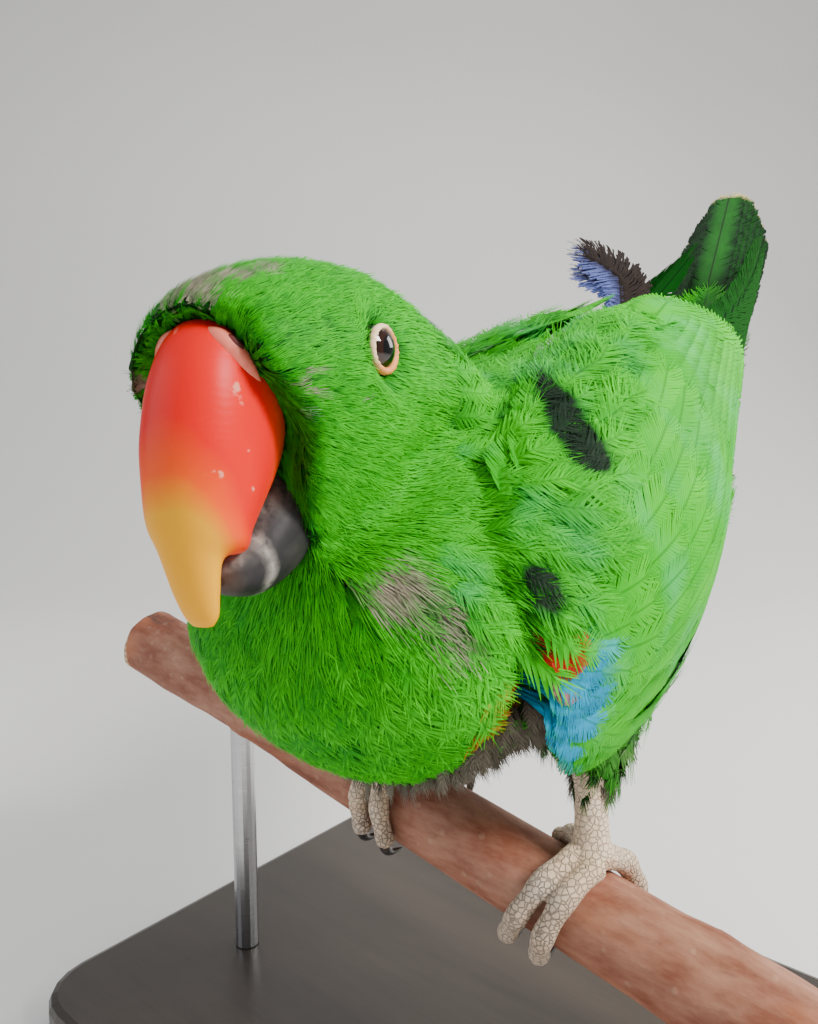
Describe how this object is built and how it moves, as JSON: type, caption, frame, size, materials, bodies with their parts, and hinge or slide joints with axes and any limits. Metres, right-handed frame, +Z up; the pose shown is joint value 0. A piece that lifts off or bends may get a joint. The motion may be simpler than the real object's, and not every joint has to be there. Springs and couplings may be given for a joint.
{
  "type": "perched parrot model",
  "caption": "Life-size still model of a green parrot with a large hooked bill, leaning forward on a cut branch held by a flat display stand.",
  "frame": {"origin": "middle of the stand base's underside", "axes": "+Z up; -Y the way the bird's body faces; +X towards the bird's left"},
  "size_m": [0.2198, 0.305, 0.266],
  "materials": {
    "head_feathers": "fine emerald feathers",
    "body_feathers": "soft green feathers with dark shafts",
    "tail_feathers": "dark green vanes, pale yellow at the tips",
    "wing_feathers": "green vanes with a faint sheen, blue at the bend",
    "thigh_feathers": "dull green and grey-brown feathers",
    "foot_skin": "pale scaled skin with dark claws",
    "eye": "wet gloss",
    "bill_upper": "smooth horn, coral red shading to yellow-orange at the tip",
    "bill_lower": "smooth black horn with pale scuffs",
    "bark": "smooth reddish-brown bark, pale at the cut ends",
    "stand_wood": "dark satin stain",
    "stand_steel": "satin"
  },
  "bodies": {
    "root": {"head": "head_feathers", "neck": "head_feathers", "torso": "body_feathers", "rump": "body_feathers", "tail": "tail_feathers", "wing_left": "wing_feathers", "wing_right": "wing_feathers", "thigh_left": "thigh_feathers", "thigh_right": "thigh_feathers", "foot_left": "foot_skin", "foot_right": "foot_skin", "eye_left": "eye", "eye_right": "eye", "bill_upper": "bill_upper", "bill_lower": "bill_lower", "perch": "bark", "stand_base": "stand_wood", "stand_rod_left": "stand_steel", "stand_rod_right": "stand_steel"}
  },
  "joints": []
}
